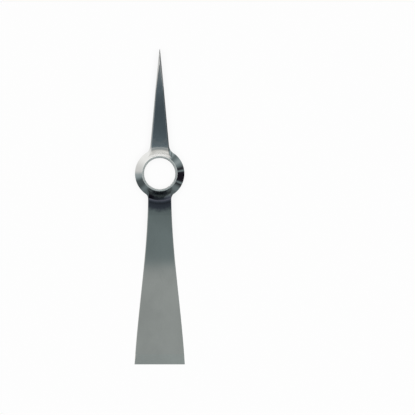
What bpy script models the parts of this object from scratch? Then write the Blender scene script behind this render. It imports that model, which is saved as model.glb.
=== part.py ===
"""Cutter mattock head: a tapered round eye with an axe on one side and an adze on the other.

Metres, +Z up. The axis of the eye is Z, and the wide end of the eye rests on the floor.
The axe points to -X and the adze to +X. Y is the thickness of the axe and the width of the adze.
"""

import math

import bmesh
import bpy
from mathutils import Matrix

MM = 0.001

# The eye: a tapered tube, wide at the floor and narrow at the end where the grip comes out
EYE_LENGTH = 65.0 * MM
EYE_WIDE_RADIUS = 30.9 * MM
EYE_NARROW_RADIUS = 22.3 * MM
EYE_WIDE_WALL = 8.4 * MM
EYE_NARROW_WALL = 2.8 * MM
BORE_WIDE_RADIUS = EYE_WIDE_RADIUS - EYE_WIDE_WALL
BORE_NARROW_RADIUS = EYE_NARROW_RADIUS - EYE_NARROW_WALL
WIDE_RIM_ROUND = 0.9 * MM
NARROW_RIM_ROUND = 0.6 * MM
BORE_RIM_ROUND = 0.5 * MM

# The axe, by the distance from the axis of the eye
AXE_REACH = 156.0 * MM
AXE_BIT_LENGTH = 42.0 * MM
AXE_CORNER_SETBACK = 19.0 * MM
AXE_SHOULDER_LENGTH = 14.1 * MM
AXE_HEEL_REACH = AXE_REACH - AXE_BIT_LENGTH
AXE_CORNER_REACH = AXE_REACH - AXE_CORNER_SETBACK
AXE_SEAM_REACH = EYE_WIDE_RADIUS + AXE_SHOULDER_LENGTH
AXE_ROOT_THICKNESS = 24.0 * MM
AXE_HEEL_THICKNESS = 9.0 * MM
AXE_BEARD_SHARE = 0.75
AXE_HONE_THICKNESS = 1.9 * MM
AXE_EDGE_THICKNESS = 0.3 * MM
AXE_HONE_WIDTH = 6.0 * MM
AXE_FLOOR_RISE = 1.5 * MM
AXE_EDGE_ARC_RADIUS = 223.5 * MM
AXE_EDGE_ARC_HEIGHT = -6.4 * MM
AXE_HEEL_ARC_RADIUS = 508.0 * MM
AXE_HEEL_ARC_HEIGHT = -48.7 * MM
AXE_BIT_CLEFT = 6.0 * MM
AXE_SEAM_CLEFT = 6.0 * MM

# The beard, the curved edge of the axe on the side of the grip: one Bezier from the neck to the corner
BEARD_NECK_OFFSET = 2.1 * MM
BEARD_NECK_REACH = EYE_WIDE_RADIUS + BEARD_NECK_OFFSET
BEARD_NECK_HEIGHT = 36.1 * MM
BEARD_CORNER_HEIGHT = 83.8 * MM
BEARD_CORNER_SLOPE = 0.862
BEARD_NECK_HANDLE = 12.3 * MM
BEARD_CORNER_HANDLE = 42.7 * MM

# The adze: heights of its two faces and its half width, as (at the root, at the edge) with slopes
ADZE_REACH = 238.5 * MM
ADZE_BIT_LENGTH = 12.0 * MM
ADZE_ROOT_OFFSET = 1.1 * MM
ADZE_SHOULDER_LENGTH = 21.1 * MM
ADZE_ROOT_REACH = EYE_WIDE_RADIUS + ADZE_ROOT_OFFSET
ADZE_BEVEL_REACH = ADZE_REACH - ADZE_BIT_LENGTH
ADZE_SEAM_REACH = EYE_WIDE_RADIUS + ADZE_SHOULDER_LENGTH
ADZE_OUTER_HEIGHTS = (0.9 * MM, 45.7 * MM)
ADZE_OUTER_SLOPES = (0.049, 0.337)
ADZE_INNER_HEIGHTS = (29.6 * MM, 50.2 * MM)
ADZE_INNER_SLOPES = (-0.208, 0.269)
ADZE_HALF_WIDTHS = (14.5 * MM, 31.4 * MM)
ADZE_WIDTH_SLOPES = (0.014, 0.060)
ADZE_EDGE_THICKNESS = 0.5 * MM
ADZE_BIT_CLEFT = 4.0 * MM
ADZE_SEAM_CLEFT = 8.0 * MM

# Rounds on the long edges, and the fillets between the shoulders and the eye
FLOOR_CLEARANCE = 0.3 * MM
AXE_FLOOR_ROUND = 1.2 * MM
AXE_BEARD_ROUND = 0.9 * MM
ADZE_OUTER_ROUND = 1.1 * MM
ADZE_INNER_ROUND = 1.1 * MM
MOST_ROUND_SHARE = 0.30
AXE_CHEEK_FILLET = 13.0 * MM
AXE_BEARD_FILLET = 9.4 * MM
ADZE_SIDE_FILLET = 9.0 * MM
ADZE_INNER_FILLET = 17.0 * MM

# The joints and the mesh
JOINT_GAP = 0.3 * MM
ROOT_SINK = 0.015 * MM
ROOT_INSET = 8.0 * MM
ROOT_LEAD = 0.5 * MM
ROOT_START = 0.8
PROBE = 0.1 * MM
EYE_STEPS = 180
EYE_RINGS = 8
RIM_STEPS = 4
FILLET_STEPS = 16
SHOULDER_STEPS = 3
CORNER_STEPS = 5
AXE_STEPS = 26
AXE_BIT_STEPS = 5
ADZE_STEPS = 52
SEARCH_STEPS = 50
SETTLE_STEPS = 14
MERGE = 1e-6
FLAT_ANGLE = math.radians(24)

# The taper of the eye, and how the fillets on top of the blades turn up to it
EYE_TAPER = (EYE_WIDE_RADIUS - EYE_NARROW_RADIUS) / EYE_LENGTH
TOP_SWEEP = math.atan2(1, EYE_TAPER)
TOP_TURNS = [TOP_SWEEP * k / FILLET_STEPS for k in range(FILLET_STEPS + 1)]
CHEEK_TOP = ("cheek", 1.0)


def lerp(a, b, t):
    return a + (b - a) * t


def hermite(u, ends, values, slopes):
    """A cubic through two values with two slopes."""
    span = ends[1] - ends[0]
    t = (u - ends[0]) / span
    start = (2 * t**3 - 3 * t**2 + 1) * values[0] + (t**3 - 2 * t**2 + t) * span * slopes[0]
    return start + (3 * t**2 - 2 * t**3) * values[1] + (t**3 - t**2) * span * slopes[1]


def bezier(t, a, b, c, d):
    s = 1 - t
    return s**3 * a + 3 * s**2 * t * b + 3 * s * t**2 * c + t**3 * d


def cone_radius(z):
    return lerp(EYE_WIDE_RADIUS, EYE_NARROW_RADIUS, z / EYE_LENGTH) - ROOT_SINK


def wedge(reach, thickness_root, thickness_heel):
    """Half of a thickness that shrinks evenly from the eye to the heel of the bit."""
    share = (reach - EYE_WIDE_RADIUS) / (AXE_HEEL_REACH - EYE_WIDE_RADIUS)
    return lerp(thickness_root, thickness_heel, share) / 2


def arc_reach(reach, radius, height, z):
    """How far an arc reaches at a height: it reaches `reach` where the head rests on the floor."""
    centre = reach - math.sqrt(radius**2 - height**2)
    return centre + math.sqrt(radius**2 - (z - height) ** 2)


class Axe:
    """The axe, as sections across the distance from the eye."""

    side = -1
    cheek_steps = 10
    over_steps = 4
    fillets = (AXE_CHEEK_FILLET, AXE_BEARD_FILLET)
    seam = (AXE_SEAM_REACH, AXE_SEAM_CLEFT)

    def low(self, u):
        share = (u - EYE_WIDE_RADIUS) / (AXE_REACH - EYE_WIDE_RADIUS)
        return FLOOR_CLEARANCE + AXE_FLOOR_RISE * max(share, 0)

    def high(self, u):
        lo, hi = 0.0, 1.0
        for _ in range(SEARCH_STEPS):
            mid = (lo + hi) / 2
            reach = bezier(
                mid,
                BEARD_NECK_REACH,
                BEARD_NECK_REACH + BEARD_NECK_HANDLE,
                AXE_CORNER_REACH - BEARD_CORNER_HANDLE,
                AXE_CORNER_REACH,
            )
            lo, hi = (mid, hi) if reach < u else (lo, mid)
        drop = BEARD_CORNER_HANDLE * BEARD_CORNER_SLOPE
        height = bezier(
            lo,
            BEARD_NECK_HEIGHT,
            BEARD_NECK_HEIGHT,
            BEARD_CORNER_HEIGHT - drop,
            BEARD_CORNER_HEIGHT,
        )
        return height + max(u - AXE_CORNER_REACH, 0) * BEARD_CORNER_SLOPE

    def half(self, u, z):
        """Half the thickness: a wedge that thins towards the beard, and the ground bit beyond its heel."""
        heel, hone, edge = self.heel(z), self.hone(z), self.edge(z)
        draft = lerp(1.0, AXE_BEARD_SHARE, z / BEARD_CORNER_HEIGHT)
        if u <= heel:
            return draft * wedge(u, AXE_ROOT_THICKNESS, AXE_HEEL_THICKNESS)
        if u <= hone:
            at_heel = draft * wedge(heel, AXE_ROOT_THICKNESS, AXE_HEEL_THICKNESS)
            return lerp(at_heel, AXE_HONE_THICKNESS / 2, (u - heel) / (hone - heel))
        return lerp(AXE_HONE_THICKNESS, AXE_EDGE_THICKNESS, min((u - hone) / (edge - hone), 1)) / 2

    def heel(self, z):
        return arc_reach(AXE_HEEL_REACH, AXE_HEEL_ARC_RADIUS, AXE_HEEL_ARC_HEIGHT, z)

    def edge(self, z):
        return arc_reach(AXE_REACH, AXE_EDGE_ARC_RADIUS, AXE_EDGE_ARC_HEIGHT, z)

    def hone(self, z):
        return self.edge(z) - AXE_HONE_WIDTH

    def rounds(self, u, z):
        most = MOST_ROUND_SHARE * 2 * self.half(u, z)
        return min(AXE_FLOOR_ROUND, most), min(AXE_BEARD_ROUND, most)


class Adze:
    """The adze, as sections across the distance from the eye."""

    side = 1
    cheek_steps = 2
    over_steps = 5
    fillets = (ADZE_SIDE_FILLET, ADZE_INNER_FILLET)
    seam = (ADZE_SEAM_REACH, ADZE_SEAM_CLEFT)

    def low(self, u):
        height = hermite(u, (ADZE_ROOT_REACH, ADZE_REACH), ADZE_OUTER_HEIGHTS, ADZE_OUTER_SLOPES)
        return max(height, FLOOR_CLEARANCE)

    def face(self, u):
        return hermite(u, (ADZE_ROOT_REACH, ADZE_REACH), ADZE_INNER_HEIGHTS, ADZE_INNER_SLOPES)

    def high(self, u):
        """The inner face, and the ground bevel that takes it down to the edge."""
        if u <= ADZE_BEVEL_REACH:
            return self.face(u)
        share = (u - ADZE_BEVEL_REACH) / (ADZE_REACH - ADZE_BEVEL_REACH)
        tip = self.low(ADZE_REACH) + ADZE_EDGE_THICKNESS
        return lerp(self.face(ADZE_BEVEL_REACH), tip, share)

    def half(self, u, z):
        return hermite(u, (ADZE_ROOT_REACH, ADZE_REACH), ADZE_HALF_WIDTHS, ADZE_WIDTH_SLOPES)

    def rounds(self, u, z):
        most = MOST_ROUND_SHARE * (self.high(u) - self.low(u))
        return min(ADZE_OUTER_ROUND, most), min(ADZE_INNER_ROUND, most)


def perimeter(blade):
    """The named places round half a section, from the middle of the floor side to the middle of the top."""
    places = [("under", 0.0)]
    places += [("low corner", k / CORNER_STEPS) for k in range(CORNER_STEPS + 1)]
    places += [("cheek", k / blade.cheek_steps) for k in range(1, blade.cheek_steps)]
    places += [("high corner", k / CORNER_STEPS) for k in range(CORNER_STEPS + 1)]
    places += [("over", k / blade.over_steps) for k in range(1, blade.over_steps + 1)]
    return places


def section_point(blade, place, u, level=None):
    """(y, z) of one place of the half section at the distance u."""
    kind, share = place
    low, high = blade.low(u), blade.high(u)
    level = (low + high) / 2 if level is None else level
    low_round, high_round = blade.rounds(u, level)
    turn = share * math.pi / 2
    if kind == "under":
        return 0.0, low
    if kind == "low corner":
        z = low + low_round * (1 - math.cos(turn))
        return blade.half(u, z) - low_round * (1 - math.sin(turn)), z
    if kind == "cheek":
        z = lerp(low + low_round, high - high_round, share)
        return blade.half(u, z), z
    if kind == "high corner":
        z = high - high_round * (1 - math.sin(turn))
        return blade.half(u, z) - high_round * (1 - math.cos(turn)), z
    return (blade.half(u, high) - high_round) * (1 - share), high


def loop_at(blade, reach_of):
    """One loop of points round half the blade, at the reach that reach_of gives for each (y, z)."""
    loop = []
    for place in perimeter(blade):
        u, level = reach_of(0.0, blade.low(AXE_SEAM_REACH)), None
        for _ in range(SEARCH_STEPS):
            y, z = section_point(blade, place, u, level)
            u, level = reach_of(y, z), z
        loop.append((u, y, z))
    return loop


def crown_reach(blade, z):
    """How far from the axis a fillet leaves the top of a blade, to rise until it just touches the cone."""
    radius = blade.fillets[1]
    return cone_radius(z + radius) + radius * math.hypot(1, EYE_TAPER)


def top_row(blade, place):
    """The points of a place on top of a blade, along its fillet from the foot to the touch on the cone."""
    radius = blade.fillets[1]

    def at_reach(reach):
        u = reach
        for _ in range(SETTLE_STEPS):
            y, z = section_point(blade, place, u)
            u = math.sqrt(reach**2 - y**2)
        return u, y, z

    crown = crown_reach(blade, blade.high(EYE_WIDE_RADIUS))
    for _ in range(SETTLE_STEPS):
        crown = crown_reach(blade, at_reach(crown - radius * math.sin(TOP_SWEEP))[2])
    row = []
    for turn in TOP_TURNS:
        u, y, z = at_reach(crown - radius * math.sin(turn))
        row.append((u, y, z + radius * (1 - math.cos(turn))))
    return row


def face_line(blade, place, u):
    """The line of a place on the side of a blade, in plan: its distance from the axis and its angle."""
    y = section_point(blade, place, u)[0]
    angle = math.atan2(y - section_point(blade, place, u + PROBE)[0], PROBE)
    return u * math.sin(angle) + y * math.cos(angle), angle


def side_fillet(blade, distance, z):
    """Where the fillet of a side begins along its face line, and its sweep to the touch on the cone."""
    radius = blade.fillets[0]
    centre = cone_radius(z) + radius
    return math.sqrt(centre**2 - (distance + radius) ** 2), math.acos((distance + radius) / centre)


class CornerRow:
    """A place on the upper corner of a blade: it rises with the top's fillet and bends out with the side's."""

    def __init__(self, blade, place):
        self.blade, self.place = blade, place
        self.spread = math.cos(place[1] * math.pi / 2)
        self.crown = crown_reach(blade, blade.high(EYE_WIDE_RADIUS))
        for _ in range(SETTLE_STEPS):
            u = self.point(TOP_SWEEP)[0][0]
            self.crown = crown_reach(blade, section_point(blade, place, u)[1])

    def bend(self, reach, u, z):
        """The angle by which the side's fillet turns the point out, with its shares of the flat and the arc."""
        distance, angle = face_line(self.blade, CHEEK_TOP, u)
        foot, sweep = side_fillet(self.blade, distance, z)
        flat = math.sqrt(reach**2 - distance**2)
        if flat >= foot:
            start = math.sqrt(self.crown**2 - distance**2)
            return 0.0, (start - flat) / (start - foot), 0.0
        radius = self.blade.fillets[0]
        centre = cone_radius(z) + radius
        cosine = (centre**2 + radius**2 - reach**2) / (2 * centre * radius)
        turn = sweep - math.acos(min(cosine, 1.0))
        along, out = foot - radius * math.sin(turn), distance + radius * (1 - math.cos(turn))
        return math.atan2(out, along) - math.asin(distance / reach), 1.0, turn / sweep

    def point(self, turn):
        radius = self.blade.fillets[1]
        reach, rise = self.crown - radius * math.sin(turn), radius * (1 - math.cos(turn))
        u = reach
        for _ in range(SETTLE_STEPS):
            y, z = section_point(self.blade, self.place, u)
            bend, *shares = self.bend(reach, u, z + rise)
            aside = math.asin(y / reach) + self.spread * bend
            u = reach * math.cos(aside)
        return (u, reach * math.sin(aside), z + rise), shares


def side_row(blade, place, crown, seam_reach, progress):
    """The points of a place on the side of a blade, in step with the corner above it."""
    foot_reach, radius = EYE_WIDE_RADIUS, blade.fillets[0]
    for _ in range(SETTLE_STEPS):
        y, z = section_point(blade, place, foot_reach)
        distance, angle = face_line(blade, place, foot_reach)
        foot, sweep = side_fillet(blade, distance, z)
        foot_reach = foot * math.cos(angle) + distance * math.sin(angle)
    start = max(math.sqrt(crown**2 - y**2), foot_reach + ROOT_LEAD)
    start = min(start, lerp(foot_reach, seam_reach, ROOT_START))
    row = []
    for flat_share, arc_share in progress:
        if arc_share == 0.0:
            u = lerp(start, foot_reach, flat_share)
            row.append((u, *section_point(blade, place, u)))
            continue
        turn = arc_share * sweep
        along, out = foot - radius * math.sin(turn), distance + radius * (1 - math.cos(turn))
        u = along * math.cos(angle) + out * math.sin(angle)
        row.append((u, out * math.cos(angle) - along * math.sin(angle), z))
    return row


def root_loops(blade, seam):
    """The loops of a shoulder, from the start of its fillets to their touch on the cone and into the eye."""
    edge = CornerRow(blade, ("high corner", 0.0))
    progress = [edge.point(turn)[1] for turn in TOP_TURNS]
    rows = []
    for place, (seam_reach, y, z) in zip(perimeter(blade), seam):
        if place[0] == "over":
            rows.append(top_row(blade, place))
        elif place[0] == "high corner":
            corner = CornerRow(blade, place)
            rows.append([corner.point(turn)[0] for turn in TOP_TURNS])
        else:
            rows.append(side_row(blade, place, edge.crown, seam_reach, progress))
    rows[0] = [(u, 0.0, z) for u, y, z in rows[1]]
    loops = [list(loop) for loop in zip(*rows)]
    loops.append([(ROOT_INSET, y, z) for u, y, z in loops[-1]])
    return loops


def axe_seam(shift):
    """The seam of axe and shoulder: a V across the thickness, its tip towards the eye."""
    reach, depth = Axe.seam
    half = Axe().half(reach, 0.0)
    shift = shift * math.hypot(1, depth / half)
    return lambda y, z: reach + shift - depth * (1 - y / half)


def axe_bit_seam(shift):
    """The seam of axe and bit: the same V, along the arc of the heel."""
    axe = Axe()

    def reach_of(y, z):
        heel = axe.heel(z)
        half = axe.half(heel, z)
        return heel + shift * math.hypot(1, AXE_BIT_CLEFT / half) - AXE_BIT_CLEFT * (1 - y / half)

    return reach_of


def adze_seam(reach, depth, shift):
    """A seam of the adze: a V across the thickness that runs the whole width, its tip towards the eye."""
    adze = Adze()
    tip = reach - depth
    middle = (adze.low(tip) + adze.high(tip)) / 2
    top, floor = adze.high(reach) - middle, middle - adze.low(reach)
    shift = shift * math.hypot(1, depth / min(top, floor))

    def reach_of(y, z):
        rise = (z - middle) / top if z > middle else (middle - z) / floor
        return tip + shift + depth * rise

    return reach_of, (tip + shift, middle)


def lofted(name, blade, loops, caps):
    """A mesh object from loops round half a blade, closed by caps and mirrored across the middle plane."""
    mesh = bpy.data.meshes.new(name)
    shape = bmesh.new()

    def vertex(point):
        u, y, z = point
        return shape.verts.new((blade.side * u, y, z))

    rows = [[vertex(point) for point in loop] for loop in loops]
    for row, following in zip(rows, rows[1:]):
        for k in range(len(row) - 1):
            shape.faces.new((row[k], row[k + 1], following[k + 1], following[k]))
    for row, cap in zip((rows[0], rows[-1]), caps):
        for corners in cap(row, vertex):
            shape.faces.new(corners)
    bmesh.ops.remove_doubles(shape, verts=shape.verts, dist=MERGE)
    half = shape.verts[:] + shape.edges[:] + shape.faces[:]
    bmesh.ops.mirror(shape, geom=half, matrix=Matrix.Identity(4), axis="Y", merge_dist=MERGE)
    bmesh.ops.recalc_face_normals(shape, faces=shape.faces)
    if shape.calc_volume(signed=True) < 0:
        bmesh.ops.reverse_faces(shape, faces=shape.faces)
    shape.to_mesh(mesh)
    shape.free()
    return bpy.data.objects.new(name, mesh)


def flat_cap(row, vertex):
    """One flat face over half a section."""
    return [row]


def ridge_cap(tip):
    """Two flat faces that meet at the tip of a V across the width."""

    def cap(row, vertex):
        corner = min(row, key=lambda v: abs(v.co.z - tip[1]) + abs(abs(v.co.x) - tip[0]))
        k = row.index(corner)
        middle = vertex((tip[0], 0.0, tip[1]))
        return [row[: k + 1] + [middle], [middle] + row[k:]]

    return cap


def curved_ridge_cap(reach_of, places):
    """Strips from the curved line of a V on the cheek to its tip in the middle plane."""

    def cap(row, vertex):
        cheeks = [k for k, (kind, share) in enumerate(places) if kind == "cheek"]
        first, last = cheeks[0], cheeks[-1]
        tips = {k: vertex((reach_of(0.0, row[k].co.z), 0.0, row[k].co.z)) for k in cheeks}
        faces = [(row[k], row[k + 1], tips[k + 1], tips[k]) for k in cheeks[:-1]]
        faces += [(row[k], row[k + 1], row[0]) for k in range(1, first - 1)]
        faces.append((row[first - 1], row[first], tips[first], row[0]))
        faces.append((row[last], row[last + 1], row[-1], tips[last]))
        faces += [(row[k], row[k + 1], row[-1]) for k in range(last + 1, len(row) - 2)]
        return faces

    return cap


def between(first, second, steps):
    """Loops evenly spaced between two loops of reaches, without the two themselves."""
    return [
        lambda y, z, t=k / steps: lerp(first(y, z), second(y, z), t) for k in range(1, steps)
    ]


def seamed(blade, loop, seam_tip):
    """A loop whose middle place of the cheek lies on the tip of the V."""
    k = perimeter(blade).index(("cheek", 0.5))
    u, z = seam_tip
    loop[k] = (u, blade.half(u, z), z)
    return loop


def make_axe():
    axe = Axe()
    places = perimeter(axe)
    seam, heel = axe_seam(JOINT_GAP), axe_bit_seam(-JOINT_GAP / 2)
    flanks = [seam, *between(seam, heel, AXE_STEPS), heel]
    blade = lofted(
        "axe_blade",
        axe,
        [loop_at(axe, reach_of) for reach_of in flanks],
        (flat_cap, curved_ridge_cap(heel, places)),
    )
    bit_heel = axe_bit_seam(JOINT_GAP / 2)

    def on_heel(y, z):
        return axe.heel(z) + JOINT_GAP

    def on_hone(y, z):
        return axe.hone(z)

    def on_edge(y, z):
        return axe.edge(z)

    flanks = [bit_heel, *between(on_heel, on_hone, AXE_BIT_STEPS), on_hone, on_edge]
    bit = lofted(
        "axe_edge",
        axe,
        [loop_at(axe, reach_of) for reach_of in flanks],
        (curved_ridge_cap(bit_heel, places), flat_cap),
    )
    return blade, bit


def make_adze():
    adze = Adze()
    seam, seam_tip = adze_seam(*adze.seam, JOINT_GAP)
    heel, heel_tip = adze_seam(ADZE_BEVEL_REACH, ADZE_BIT_CLEFT, -JOINT_GAP / 2)
    flanks = [loop_at(adze, reach_of) for reach_of in between(seam, heel, ADZE_STEPS)]
    ends = seamed(adze, loop_at(adze, seam), seam_tip), seamed(adze, loop_at(adze, heel), heel_tip)
    blade = lofted(
        "adze_blade",
        adze,
        [ends[0], *flanks, ends[1]],
        (ridge_cap(seam_tip), ridge_cap(heel_tip)),
    )
    heel, heel_tip = adze_seam(ADZE_BEVEL_REACH, ADZE_BIT_CLEFT, JOINT_GAP / 2)
    start = seamed(adze, loop_at(adze, heel), heel_tip)
    edge = loop_at(adze, lambda y, z: ADZE_REACH)
    bit = lofted("adze_edge", adze, [start, edge], (ridge_cap(heel_tip), flat_cap))
    return blade, bit


def shoulder_loops(blade, seam):
    """The loops of a shoulder, from its seam along the blade to the fillets and into the eye."""
    places, root = perimeter(blade), root_loops(blade, seam)
    loops = [seam]
    for k in range(1, SHOULDER_STEPS):
        reaches = [lerp(a[0], b[0], k / SHOULDER_STEPS) for a, b in zip(seam, root[0])]
        loops.append([(u, *section_point(blade, place, u)) for place, u in zip(places, reaches)])
    return loops + root


def make_shoulders():
    """The two shoulders of the eye, each with its fillets and the cleft for its blade."""
    axe, adze = Axe(), Adze()
    loops = shoulder_loops(axe, loop_at(axe, axe_seam(0.0)))
    axe_shoulder = lofted("axe_shoulder", axe, loops, (flat_cap, flat_cap))
    seam, tip = adze_seam(*adze.seam, 0.0)
    loops = shoulder_loops(adze, seamed(adze, loop_at(adze, seam), tip))
    adze_shoulder = lofted("adze_shoulder", adze, loops, (ridge_cap(tip), flat_cap))
    return axe_shoulder, adze_shoulder


def turned(name, profile):
    """A body of revolution round Z, from a profile of (radius, height) that runs from the top down."""
    mesh = bpy.data.meshes.new(name)
    mesh.from_pydata(
        [(radius, 0.0, height) for radius, height in profile],
        [(k, k + 1) for k in range(len(profile) - 1)],
        [],
    )
    obj = bpy.data.objects.new(name, mesh)
    screw = obj.modifiers.new("turn", "SCREW")
    screw.steps = screw.render_steps = EYE_STEPS
    screw.use_merge_vertices = True
    screw.merge_threshold = MERGE
    return obj


def rim_round(radius, height, size, up):
    """A quarter round on the outer rim of a turned body, from the top down."""
    turns = [k / RIM_STEPS * math.pi / 2 for k in range(RIM_STEPS + 1)]
    if up:
        return [
            (radius - size * (1 - math.sin(a)), height - size * (1 - math.cos(a))) for a in turns
        ]
    return [(radius - size * (1 - math.cos(a)), height + size * (1 - math.sin(a))) for a in turns]


def make_eye(collection, cutters):
    narrow = rim_round(EYE_NARROW_RADIUS, EYE_LENGTH, NARROW_RIM_ROUND, True)
    wide = rim_round(EYE_WIDE_RADIUS, 0.0, WIDE_RIM_ROUND, False)
    shares = [k / EYE_RINGS for k in range(1, EYE_RINGS)]
    flank = [tuple(lerp(a, b, t) for a, b in zip(narrow[-1], wide[0])) for t in shares]
    eye = turned("eye_socket", [(0.0, EYE_LENGTH), *narrow, *flank, *wide, (0.0, 0.0)])
    beyond = 2 * MM
    widen = BORE_RIM_ROUND
    bore = turned(
        "bore",
        [
            (0.0, EYE_LENGTH + beyond),
            (BORE_NARROW_RADIUS + widen + beyond, EYE_LENGTH + beyond),
            (BORE_NARROW_RADIUS, EYE_LENGTH - widen),
            (BORE_WIDE_RADIUS, widen),
            (BORE_WIDE_RADIUS + widen + beyond, -beyond),
            (0.0, -beyond),
        ],
    )
    collection.objects.link(eye)
    axe_shoulder, adze_shoulder = make_shoulders()
    for cutter, operation in (
        (axe_shoulder, "UNION"),
        (adze_shoulder, "UNION"),
        (bore, "DIFFERENCE"),
    ):
        cutters.objects.link(cutter)
        cutter.hide_render = True
        cutter.display_type = "WIRE"
        cut = eye.modifiers.new(cutter.name, "BOOLEAN")
        cut.operation = operation
        cut.solver = "EXACT"
        cut.object = cutter
    return eye


def steel(name, colour, roughness):
    material = bpy.data.materials.new(name)
    material.use_nodes = True
    surface = material.node_tree.nodes["Principled BSDF"]
    surface.inputs["Base Color"].default_value = (*colour, 1.0)
    surface.inputs["Metallic"].default_value = 1.0
    surface.inputs["Roughness"].default_value = roughness
    material.diffuse_color = (*colour, 1.0)
    return material


def finish(obj, material):
    """Applies the modifiers, so that the sharp edges can be marked on the finished shape."""
    bpy.context.view_layer.update()
    evaluated = obj.evaluated_get(bpy.context.evaluated_depsgraph_get())
    mesh = bpy.data.meshes.new_from_object(evaluated)
    obj.modifiers.clear()
    obj.data = mesh
    mesh.name = obj.name
    mesh.materials.clear()
    mesh.materials.append(material)
    mesh.shade_smooth()
    mesh.set_sharp_from_angle(angle=FLAT_ANGLE)


def main():
    for obj in list(bpy.data.objects):
        bpy.data.objects.remove(obj)
    collection = bpy.data.collections.new("cutter_mattock")
    cutters = bpy.data.collections.new("cutters")
    bpy.context.scene.collection.children.link(collection)
    bpy.context.scene.collection.children.link(cutters)
    cutters.hide_render = True
    eye = make_eye(collection, cutters)
    axe_blade, axe_edge = make_axe()
    adze_blade, adze_edge = make_adze()
    for obj in (axe_blade, axe_edge, adze_blade, adze_edge):
        collection.objects.link(obj)
    finish(eye, steel("polished_steel", (0.60, 0.60, 0.58), 0.22))
    finish(axe_blade, steel("brushed_cheek_steel", (0.43, 0.46, 0.45), 0.34))
    finish(axe_edge, steel("ground_edge_steel", (0.72, 0.72, 0.70), 0.30))
    finish(adze_blade, steel("brushed_adze_steel", (0.45, 0.47, 0.45), 0.34))
    finish(adze_edge, steel("ground_adze_steel", (0.60, 0.61, 0.59), 0.30))


main()
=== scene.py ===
"""The looks of a cutter mattock head: smooth steel surfaces, a floor and studio light.

Metres, +Z up, in the frame of the solids: the axis of the eye is Z, the axe points to -X and the
adze to +X. The camera looks down the eye, with the axe at the top of the picture.
"""

import math

import bmesh
import bpy
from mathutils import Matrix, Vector
from mathutils.kdtree import KDTree


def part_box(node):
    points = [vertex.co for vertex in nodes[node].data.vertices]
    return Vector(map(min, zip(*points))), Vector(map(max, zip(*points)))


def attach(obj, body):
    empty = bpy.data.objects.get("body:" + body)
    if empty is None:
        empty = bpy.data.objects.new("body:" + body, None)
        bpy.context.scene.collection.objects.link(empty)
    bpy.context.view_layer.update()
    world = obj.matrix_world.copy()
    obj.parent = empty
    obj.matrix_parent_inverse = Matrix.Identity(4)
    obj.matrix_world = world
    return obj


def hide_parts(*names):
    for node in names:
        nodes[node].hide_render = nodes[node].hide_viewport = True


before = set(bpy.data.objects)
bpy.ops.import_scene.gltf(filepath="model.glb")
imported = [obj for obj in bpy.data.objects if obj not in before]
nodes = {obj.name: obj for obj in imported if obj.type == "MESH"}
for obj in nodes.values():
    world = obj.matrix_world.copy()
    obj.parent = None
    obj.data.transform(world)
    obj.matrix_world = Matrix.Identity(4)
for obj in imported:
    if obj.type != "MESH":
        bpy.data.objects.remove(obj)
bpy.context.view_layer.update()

MM = 0.001

# The head's main sizes, from its solids
EYE_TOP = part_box("eye_socket")[1].z
EYE_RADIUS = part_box("eye_socket")[1].y
AXE_REACH = -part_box("axe_edge")[0].x

# The skins: smooth copies of the solids. At each seam the first is moved onto the second
WELD = 0.05 * MM
SHARP_ANGLE = math.radians(24)
JOINT_REACH = 1.2 * MM
SQUEEZED_ALONG_X = Vector((0.1, 1.0, 1.0))
SEAMS = (
    ("axe_blade", "eye_socket"),
    ("adze_blade", "eye_socket"),
    ("axe_edge", "axe_blade"),
    ("adze_edge", "adze_blade"),
)

# The picture: the photograph's frame is 415 pixels wide, and the eye's axis is at this pixel
PIXELS = 415
PIXEL_SIZE = 1.25 * MM
EYE_PIXEL = (159.7, 173.6)
CAMERA_HEIGHT = 1.5
CAMERA_DEPTHS = (0.01, 10.0)

# The floor, with a soft shade where the head rests on it
FLOOR_REACH = 3.0
FLOOR_CELLS = 8
FLOOR_LIGHT = 0.985
CONTACT_REACH = 12 * MM
CONTACT_SHADE = 0.88
CONTACT_SAMPLES = 8
WHITE = (1.0, 1.0, 1.0, 1.0)

# The studio that the steel mirrors: brightness by azimuth in degrees, from -Y (0) towards +X (90)
PANELS_LEVEL = (
    (-180, 0.9),
    (-160, 0.85),
    (-145, 0.75),
    (-129, 0.96),
    (-108, 1.06),
    (-91, 0.96),
    (-76, 0.81),
    (-63, 1.14),
    (-50, 1.28),
    (-38, 1.08),
    (-15, 0.86),
    (-4, 0.6),
    (7, 0.42),
    (19, 0.29),
    (25, 0.05),
    (34, 0.04),
    (40, 0.13),
    (46, 0.03),
    (56, 0.01),
    (74, 0.015),
    (84, 0.09),
    (96, 0.2),
    (106, 0.3),
    (122, 0.5),
    (160, 0.85),
    (180, 0.9),
)
PANELS_BELOW = (
    (-180, 0.012),
    (-176, 0.025),
    (-173, 0.24),
    (-168, 0.03),
    (-165, 0.03),
    (-161, 0.13),
    (-157, 0.22),
    (-148, 0.36),
    (-132, 0.17),
    (-115, 0.8),
    (-45, 1),
    (-10, 0.72),
    (6, 0.36),
    (20, 0.1),
    (32, 0.09),
    (44, 0.19),
    (60, 0.05),
    (75, 0.05),
    (112, 0.05),
    (120, 0.07),
    (128, 0.1),
    (133, 0.18),
    (141, 0.18),
    (147, 0.1),
    (151, 0.02),
    (156, 0.22),
    (160, 0.03),
    (164, 0.012),
    (180, 0.012),
)

# The panels overhead run along Y: brightness by the angle that they lean over to +X
PANELS_ABOVE = (
    (-90, 1.2),
    (-64, 0.75),
    (-50, 0.55),
    (-36, 0.42),
    (-30, 0.58),
    (-12, 0.585),
    (-7, 0.325),
    (11, 0.33),
    (20, 0.2),
    (32, 0.19),
    (46, 0.125),
    (55, 0.18),
    (63, 0.33),
    (76, 0.64),
    (90, 0.8),
)

# The panel overhead on the side of -Y is even
FRONT_LIGHT = 0.62

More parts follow.
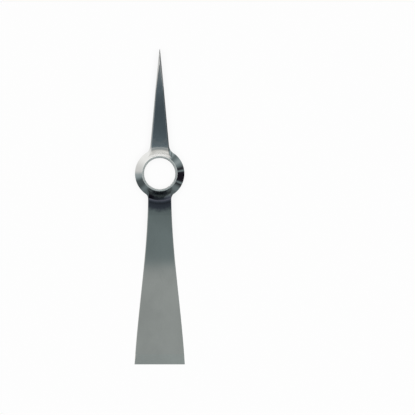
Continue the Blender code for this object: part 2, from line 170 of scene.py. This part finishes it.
# Where the panels give way to each other, by the height or the Y of the mirrored direction
LEVEL_TO_BELOW = (-0.1, -0.55)
LEVEL_TO_ABOVE = (0.22, 0.32)
ABOVE_TO_FRONT = (-0.15, -0.6)

# What steel shows where it mirrors steel: light by the axe, less so towards its cheeks, dark by the adze
HOLLOW_LIGHT = 1.0
HOLLOW_SIDE = 0.6
HOLLOW_DARK = 0.13
MIDDLE_TO_SIDE = (0.1, 0.8)
AXE_TO_ADZE = (-0.2, 0.1)

# Painted light: over this length of X, towards the axe, steel mirrored in steel turns from its own colour
# to white
OWN_TO_WHITE = (0.0, -4.0 * MM)

# A path deeper than this sees steel mirrored in steel, or the studio mirrored twice
STEEL_IN_STEEL = 0.5
STUDIO_TWICE = 2.5

# The tints of the mirrored light: violet where it is darkest, bluish where it is dim
DEEP_TINT = (1.0, 0.90, 1.30, 1.0)
DIM_TINT = (0.83, 1.01, 1.05, 1.0)
LIGHT_TINT = (1.0, 1.0, 0.985, 1.0)
DEEP_TO_DIM = (0.0, 0.06)
DIM_TO_LIGHT = (0.2, 0.7)

# The grain of the steel: how many waves to a metre along each axis
ALONG = (60.0, 2400.0, 2400.0)
AROUND = (160.0, 160.0, 2600.0)
TOOTH = (2600.0, 2600.0, 2600.0)
SLOW_CHANGE = (22.0, 30.0, 30.0)
TONE_CHANGE = 0.07
GLOSS_CHANGE = 0.12

# The detail and the roughness of the noises, and the middle part of a noise that is used
SLOW_NOISE = (3.0, 0.55)
FINE_NOISE = (3.0, 0.6)
PLAIN_NOISE = (2.0, 0.6)
NOISE_MIDDLE = (0.3, 0.7)

# The share of the fine lines in the tone and in the gloss, and of the tooth in the bumps
LINES_IN_TONE = 0.3
LINES_IN_GLOSS = 0.5
TOOTH_IN_BUMPS = 0.3

# Where one finish gives way to the next, by how far a face is turned up or in, or by place
FLANK_TO_TOP = (0.3, 0.6)
OUTSIDE_TO_BORE = (0.0, -0.4)
RING_HEIGHTS = (EYE_TOP - 0.58 * MM, EYE_TOP - 0.48 * MM)
POLISH_ENDS = (EYE_RADIUS - 2.4 * MM, EYE_RADIUS + 5.1 * MM)
BEARD_GROUND = (AXE_REACH - 51.0 * MM, AXE_REACH - 2.0 * MM)

# The wear along the edges
BARE_STEEL = (0.85, 0.85, 0.83, 1.0)
WEAR_REACH = 0.7 * MM
WEAR_SAMPLES = 4
WEAR_TURN = (0.01, 0.12)
WEAR_SHARE = 0.5
WEAR_GRAIN = (250.0, 250.0, 250.0)
WEAR_PATCHES = (0.3, 0.6)
WEAR_LEAST = 0.3
WEAR_FADE = 4.0 * MM

# The painted dark reflection, violet, on the upward faces of the adze's inner side, at the foot of its
# fillet
PAINTED_DARK_COLOUR = (0.34, 0.33, 0.42, 1.0)
PAINTED_DARK_STARTS = (EYE_RADIUS - 0.9 * MM, EYE_RADIUS + 4.1 * MM)
PAINTED_DARK_ENDS = (EYE_RADIUS + 15.1 * MM, EYE_RADIUS + 23.1 * MM)
PAINTED_DARK_WAVER = 7.0 * MM
PAINTED_DARK_BOW = 0.2
PAINTED_DARK_GRAIN = (330.0, 220.0, 330.0)
PAINTED_DARK_FACES = (0.2, 0.6)


def welded_copy(node, name):
    """A mesh object with the node's shape, its split corners joined and its stored normals left out."""
    mesh = nodes[node].data.copy()
    mesh.name = name
    shape = bmesh.new()
    shape.from_mesh(mesh)
    bmesh.ops.remove_doubles(shape, verts=shape.verts, dist=WELD)
    shape.to_mesh(mesh)
    shape.free()
    flat_normals = mesh.attributes.get("custom_normal")
    if flat_normals:
        mesh.attributes.remove(flat_normals)
    skin = bpy.data.objects.new(name, mesh)
    bpy.context.scene.collection.objects.link(skin)
    return skin


def close_seam(skin, neighbour):
    """Moves the skin's corners, mostly along X, across the narrow gap of a joint onto its neighbour's."""
    corners = [vertex.co.copy() for vertex in neighbour.data.vertices]
    tree = KDTree(len(corners))
    for k, corner in enumerate(corners):
        tree.insert(corner * SQUEEZED_ALONG_X, k)
    tree.balance()
    for vertex in skin.data.vertices:
        nearest = corners[tree.find(vertex.co * SQUEEZED_ALONG_X)[1]]
        if (nearest - vertex.co).length < JOINT_REACH:
            vertex.co = nearest


def seam_zones():
    """The lengths of X, start and end, over which neighbours reach into each other."""
    for pair in SEAMS:
        lows, highs = zip(*(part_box(node) for node in pair))
        yield max(low.x for low in lows), min(high.x for high in highs)


def smooth(skin):
    """Smooth shading that the large faces lead, with the true edges left sharp."""
    skin.data.shade_smooth()
    skin.data.set_sharp_from_angle(angle=SHARP_ANGLE)
    led = skin.modifiers.new("large_faces_lead", "WEIGHTED_NORMAL")
    led.mode = "FACE_AREA"
    led.keep_sharp = True


def finished(skin, node, material):
    """Gives the skin its material, and lets it stand for the node."""
    skin.data.materials.clear()
    skin.data.materials.append(material)
    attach(skin, "root")
    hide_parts(node)


class Graph:
    """Short names for adding nodes to a material's or a world's tree."""

    def __init__(self, owner):
        owner.use_nodes = True
        self.tree = owner.node_tree
        self.tree.nodes.clear()

    def add(self, kind, inputs=(), **settings):
        """A new node. Each input is a value, or a socket that is linked to it."""
        node = self.tree.nodes.new(kind)
        for name, value in settings.items():
            setattr(node, name, value)
        for name, value in dict(inputs).items():
            if isinstance(value, bpy.types.NodeSocket):
                self.tree.links.new(value, node.inputs[name])
            else:
                node.inputs[name].default_value = value
        return node

    def math(self, operation, *values):
        return self.add("ShaderNodeMath", enumerate(values), operation=operation).outputs[0]

    def vector_math(self, operation, *values):
        node = self.add("ShaderNodeVectorMath", enumerate(values), operation=operation)
        return node.outputs["Value" if operation == "DOT_PRODUCT" else "Vector"]

    def ease(self, value, start, end, low=0.0, high=1.0):
        """Runs gently from low to high while the value runs from start to end."""
        inputs = {0: value, 1: start, 2: end, 3: low, 4: high}
        node = self.add("ShaderNodeMapRange", inputs, interpolation_type="SMOOTHSTEP")
        return node.outputs[0]

    def mix(self, share, first, second):
        inputs = {0: share, 2: first, 3: second}
        return self.add("ShaderNodeMix", inputs, data_type="FLOAT").outputs[0]

    def mix_colour(self, share, first, second, blend="MIX"):
        inputs = {0: share, 6: first, 7: second}
        node = self.add("ShaderNodeMix", inputs, data_type="RGBA", blend_type=blend)
        return node.outputs[2]

    def noise(self, place, stretch, detail, roughness):
        spread = self.vector_math("MULTIPLY", place, stretch)
        inputs = {"Vector": spread, "Scale": 1.0, "Detail": detail, "Roughness": roughness}
        return self.add("ShaderNodeTexNoise", inputs).outputs["Fac"]

    def panels(self, share, stops, most):
        """Brightness by an angle. The share runs from 0 to 1 while the angle runs from -most to most."""
        node = self.add("ShaderNodeValToRGB", {0: share})
        ramp = node.color_ramp
        ramp.interpolation = "EASE"
        brightest = max(value for angle, value in stops)
        for k, (angle, value) in enumerate(stops):
            place = (angle + most) / (2 * most)
            stop = ramp.elements[k] if k < 2 else ramp.elements.new(place)
            stop.position = place
            stop.color = (value / brightest,) * 3 + (1.0,)
        return self.math("MULTIPLY", node.outputs[0], brightest)


class Finish:
    """How a zone of the steel looks: its colour, its gloss, and how deep its ground lines are."""

    def __init__(self, colour, roughness, depth, lines):
        self.colour, self.roughness, self.depth, self.lines = colour, roughness, depth, lines


# The finishes of the zones
BRUSHED_AXE = Finish((0.318, 0.36, 0.395), 0.30, 0.004 * MM, ALONG)
BRUSHED_CHEEK = Finish((0.275, 0.29, 0.275), 0.30, 0.004 * MM, ALONG)
BRUSHED_ADZE = Finish((0.435, 0.455, 0.44), 0.14, 0.003 * MM, ALONG)
BRUSHED_FLANK = Finish((0.40, 0.41, 0.385), 0.25, 0.003 * MM, ALONG)
GROUND_BIT = Finish((0.87, 0.85, 0.835), 0.46, 0.003 * MM, ALONG)
GROUND_ADZE_BIT = Finish((0.81, 0.775, 0.73), 0.24, 0.001 * MM, ALONG)
POLISHED = Finish((0.62, 0.62, 0.60), 0.07, 0.0004 * MM, AROUND)
FACED_RING = Finish((0.93, 0.93, 0.91), 0.36, 0.002 * MM, AROUND)
FORGED_BORE = Finish((0.30, 0.295, 0.29), 0.55, 0.02 * MM, TOOTH)


class Steel:
    """The material of one piece of steel, in zones of different finishes."""

    def __init__(self, name):
        self.material = bpy.data.materials.new(name)
        self.graph = Graph(self.material)
        coordinates = self.graph.add("ShaderNodeTexCoord").outputs
        self.place = coordinates["Object"]
        self.facing = coordinates["Normal"]
        self.x, self.y, self.z = self.graph.add("ShaderNodeSeparateXYZ", {0: self.place}).outputs
        self.up = self.graph.add("ShaderNodeSeparateXYZ", {0: self.facing}).outputs[2]
        self.level = self.graph.ease(self.graph.math("ABSOLUTE", self.up), *FLANK_TO_TOP)
        self.slow = self.graph.noise(self.place, SLOW_CHANGE, *SLOW_NOISE)
        self.tooth = self.graph.noise(self.place, TOOTH, *PLAIN_NOISE)

    def zone(self, finish):
        """(colour, roughness, height) of a finish, with slow changes of tone and gloss and fine lines."""
        graph = self.graph
        fine = graph.noise(self.place, finish.lines, *FINE_NOISE)
        share = graph.ease(graph.mix(LINES_IN_TONE, self.slow, fine), *NOISE_MIDDLE)
        dark = tuple(c * (1 - TONE_CHANGE) for c in finish.colour) + (1.0,)
        light = tuple(min(c * (1 + TONE_CHANGE), 1.0) for c in finish.colour) + (1.0,)
        dull, glossy = (finish.roughness * (1 + k * GLOSS_CHANGE) for k in (1, -1))
        gloss = graph.ease(graph.mix(LINES_IN_GLOSS, self.slow, fine), *NOISE_MIDDLE, dull, glossy)
        height = graph.math("MULTIPLY", graph.mix(TOOTH_IN_BUMPS, fine, self.tooth), finish.depth)
        return graph.mix_colour(share, dark, light), gloss, height

    def blend(self, share, first, second):
        """The mix of two zones."""
        colour = self.graph.mix_colour(share, first[0], second[0])
        gloss, height = (self.graph.mix(share, first[k], second[k]) for k in (1, 2))
        return colour, gloss, height

    def with_painted_dark_reflection(self, look):
        """The zone with a painted dark reflection laid over its upward face."""
        graph = self.graph
        waver = graph.noise(self.place, PAINTED_DARK_GRAIN, *FINE_NOISE)
        along = graph.math("ADD", self.x, graph.math("MULTIPLY", waver, PAINTED_DARK_WAVER))
        aside = graph.math("MULTIPLY", graph.math("ABSOLUTE", self.y), PAINTED_DARK_BOW)
        along = graph.math("ADD", along, aside)
        begun = graph.ease(along, *PAINTED_DARK_STARTS)
        left = graph.ease(along, *PAINTED_DARK_ENDS, 1.0, 0.0)
        upward = graph.ease(self.up, *PAINTED_DARK_FACES)
        share = graph.math("MULTIPLY", graph.math("MULTIPLY", begun, left), upward)
        return graph.mix_colour(share, look[0], PAINTED_DARK_COLOUR, "MULTIPLY"), look[1], look[2]

    def worn(self, colour):
        """The colour, lighter in patches along the edges, except where a seam is closed."""
        graph = self.graph
        facing = graph.add("ShaderNodeNewGeometry").outputs["Normal"]
        rounded = graph.add("ShaderNodeBevel", {"Radius": WEAR_REACH}, samples=WEAR_SAMPLES).outputs[0]
        turn = graph.math("SUBTRACT", 1.0, graph.vector_math("DOT_PRODUCT", facing, rounded))
        patches = graph.noise(self.place, WEAR_GRAIN, *PLAIN_NOISE)
        patches = graph.ease(patches, *WEAR_PATCHES, WEAR_LEAST, 1.0)
        share = graph.math("MULTIPLY", graph.ease(turn, *WEAR_TURN, 0.0, WEAR_SHARE), patches)
        for start, end in seam_zones():
            before = graph.ease(self.x, start, start - WEAR_FADE)
            beyond = graph.ease(self.x, end, end + WEAR_FADE)
            share = graph.math("MULTIPLY", share, graph.math("ADD", before, beyond))
        return graph.mix_colour(share, colour, BARE_STEEL)

    def painted_light_in_hollows(self, colour):
        """Painted light: the colour made white on the axe's side where steel mirrors it, so that no light
        is lost.
        """
        graph = self.graph
        depth = graph.add("ShaderNodeLightPath").outputs["Ray Depth"]
        mirrored = graph.math("GREATER_THAN", depth, STEEL_IN_STEEL)
        share = graph.math("MULTIPLY", mirrored, graph.ease(self.x, *OWN_TO_WHITE))
        return graph.mix_colour(share, colour, WHITE)

    def finish(self, look):
        """The finished material, showing the given mix of zones."""
        graph = self.graph
        colour, gloss, height = look
        # Worn edges, then painted light where steel mirrors steel on the axe's side
        colour = self.painted_light_in_hollows(self.worn(colour))
        bump = graph.add("ShaderNodeBump", {"Strength": 1.0, "Distance": 1.0, "Height": height})
        inputs = {"Base Color": colour, "Metallic": 1.0, "Roughness": gloss, "Normal": bump.outputs[0]}
        surface = graph.add("ShaderNodeBsdfPrincipled", inputs)
        graph.add("ShaderNodeOutputMaterial", {"Surface": surface.outputs[0]})
        return self.material


def axe_steel():
    """Brushed: greyer on the cheeks than along the beard."""
    steel = Steel("brushed_axe")
    return steel.finish(steel.blend(steel.level, steel.zone(BRUSHED_CHEEK), steel.zone(BRUSHED_AXE)))


def bit_steel():
    """Ground bright on the cheeks, and along the beard only towards the corner."""
    steel = Steel("ground_bit")
    ground = steel.zone(GROUND_BIT)
    far = steel.graph.ease(steel.graph.math("ABSOLUTE", steel.x), *BEARD_GROUND)
    beard = steel.blend(far, steel.zone(BRUSHED_AXE), ground)
    return steel.finish(steel.blend(steel.level, ground, beard))


def adze_steel():
    """Brushed, with a painted dark reflection at the foot of the fillet."""
    steel = Steel("brushed_adze")
    look = steel.blend(steel.level, steel.zone(BRUSHED_FLANK), steel.zone(BRUSHED_ADZE))
    # Painted dark reflection laid over the upward faces at the foot of the fillet
    return steel.finish(steel.with_painted_dark_reflection(look))


def adze_bit_steel():
    """Ground on the bevel, and brushed like the adze on its flanks."""
    steel = Steel("ground_adze_bit")
    bevel = steel.zone(GROUND_ADZE_BIT)
    return steel.finish(steel.blend(steel.level, steel.zone(BRUSHED_FLANK), bevel))


def eye_steel():
    """Polished round the eye, forged dull in its bore, faced on its rim, brushed on its shoulders."""
    steel = Steel("polished_eye")
    graph = steel.graph
    axe = steel.blend(steel.level, steel.zone(BRUSHED_CHEEK), steel.zone(BRUSHED_AXE))
    adze = steel.blend(steel.level, steel.zone(BRUSHED_FLANK), steel.zone(BRUSHED_ADZE))
    shoulder = steel.blend(graph.math("GREATER_THAN", steel.x, 0.0), axe, adze)
    away = graph.ease(graph.math("ABSOLUTE", steel.x), *POLISH_ENDS)
    # Painted dark reflection laid over the upward faces by the foot of the adze's fillet
    look = steel.with_painted_dark_reflection(steel.blend(away, steel.zone(POLISHED), shoulder))
    from_axis = graph.vector_math("MULTIPLY", steel.place, (1.0, 1.0, 0.0))
    outward = graph.vector_math("DOT_PRODUCT", steel.facing, graph.vector_math("NORMALIZE", from_axis))
    look = steel.blend(graph.ease(outward, *OUTSIDE_TO_BORE), look, steel.zone(FORGED_BORE))
    ring = steel.zone(FACED_RING)
    return steel.finish(steel.blend(graph.ease(steel.z, *RING_HEIGHTS), look, ring))


def studio_world():
    """A studio as steel mirrors it, seen as plain white by the camera."""
    world = bpy.data.worlds.new("studio")
    bpy.context.scene.world = world
    graph = Graph(world)
    direction = graph.add("ShaderNodeTexCoord").outputs["Generated"]
    x, y, z = graph.add("ShaderNodeSeparateXYZ", {0: direction}).outputs
    azimuth = graph.math("ARCTAN2", x, graph.math("MULTIPLY", y, -1.0))
    turn = graph.math("ADD", graph.math("DIVIDE", azimuth, 2 * math.pi), 0.5)
    level, below = (graph.panels(turn, stops, 180) for stops in (PANELS_LEVEL, PANELS_BELOW))
    around = graph.mix(graph.ease(z, *LEVEL_TO_BELOW), level, below)
    lean = graph.math("ADD", graph.math("DIVIDE", graph.math("ARCTAN2", x, z), math.pi), 0.5)
    above = graph.mix(graph.ease(y, *ABOVE_TO_FRONT), graph.panels(lean, PANELS_ABOVE, 90), FRONT_LIGHT)
    mirrored = graph.mix(graph.ease(z, *LEVEL_TO_ABOVE), around, above)
    path = graph.add("ShaderNodeLightPath")
    bright = graph.ease(graph.math("ABSOLUTE", y), *MIDDLE_TO_SIDE, HOLLOW_LIGHT, HOLLOW_SIDE)
    hollow = graph.mix(graph.ease(x, *AXE_TO_ADZE), bright, HOLLOW_DARK)
    twice = graph.math("GREATER_THAN", path.outputs["Ray Depth"], STUDIO_TWICE)
    mirrored = graph.mix(twice, mirrored, hollow)
    tint = graph.mix_colour(graph.ease(mirrored, *DIM_TO_LIGHT), DIM_TINT, LIGHT_TINT)
    tint = graph.mix_colour(graph.ease(mirrored, *DEEP_TO_DIM), DEEP_TINT, tint)
    room = graph.add("ShaderNodeBackground", {"Color": tint, "Strength": mirrored})
    plain = graph.add("ShaderNodeBackground", {"Color": WHITE, "Strength": FLOOR_LIGHT})
    shown = {0: path.outputs["Is Glossy Ray"], 1: plain.outputs[0], 2: room.outputs[0]}
    light = graph.add("ShaderNodeMixShader", shown)
    graph.add("ShaderNodeOutputWorld", {"Surface": light.outputs[0]})
    world.cycles.sampling_method = "NONE"


def floor():
    """A plain pale floor, lit evenly, with a soft contact shade where the head rests on it."""
    mesh = bpy.data.meshes.new("floor")
    shape = bmesh.new()
    bmesh.ops.create_grid(shape, x_segments=FLOOR_CELLS, y_segments=FLOOR_CELLS, size=FLOOR_REACH)
    shape.to_mesh(mesh)
    shape.free()
    plane = bpy.data.objects.new("floor", mesh)
    bpy.context.scene.collection.objects.link(plane)
    material = bpy.data.materials.new("pale_floor")
    graph = Graph(material)
    near = graph.add("ShaderNodeAmbientOcclusion", {"Distance": CONTACT_REACH}, samples=CONTACT_SAMPLES)
    shade = graph.ease(near.outputs["AO"], 0.0, 1.0, CONTACT_SHADE * FLOOR_LIGHT, FLOOR_LIGHT)
    light = graph.add("ShaderNodeEmission", {"Color": WHITE, "Strength": shade})
    graph.add("ShaderNodeOutputMaterial", {"Surface": light.outputs[0]})
    mesh.materials.append(material)
    plane.visible_glossy = False
    plane.visible_diffuse = False


def camera():
    """Looks straight down the eye: -X is up in the picture and +Y is to the right."""
    data = bpy.data.cameras.new("camera")
    data.type = "ORTHO"
    data.ortho_scale = PIXELS * PIXEL_SIZE
    data.clip_start, data.clip_end = CAMERA_DEPTHS
    obj = bpy.data.objects.new("camera", data)
    bpy.context.scene.collection.objects.link(obj)
    across, down = (PIXELS / 2 - pixel for pixel in EYE_PIXEL)
    obj.location = (down * PIXEL_SIZE, across * PIXEL_SIZE, CAMERA_HEIGHT)
    obj.rotation_euler = (0.0, 0.0, math.pi / 2)
    bpy.context.scene.camera = obj


def build():
    """One skin for each node, with its seams closed and its own steel."""
    skins = {node: welded_copy(node, node + "_skin") for node in nodes}
    for node, neighbour in SEAMS:
        close_seam(skins[node], skins[neighbour])
    for skin in skins.values():
        smooth(skin)
    looks = {
        "eye_socket": eye_steel(),
        "axe_blade": axe_steel(),
        "axe_edge": bit_steel(),
        "adze_blade": adze_steel(),
        "adze_edge": adze_bit_steel(),
    }
    for node, skin in skins.items():
        finished(skin, node, looks[node])


build()
studio_world()
floor()
camera()
bpy.context.scene.view_settings.view_transform = "Standard"
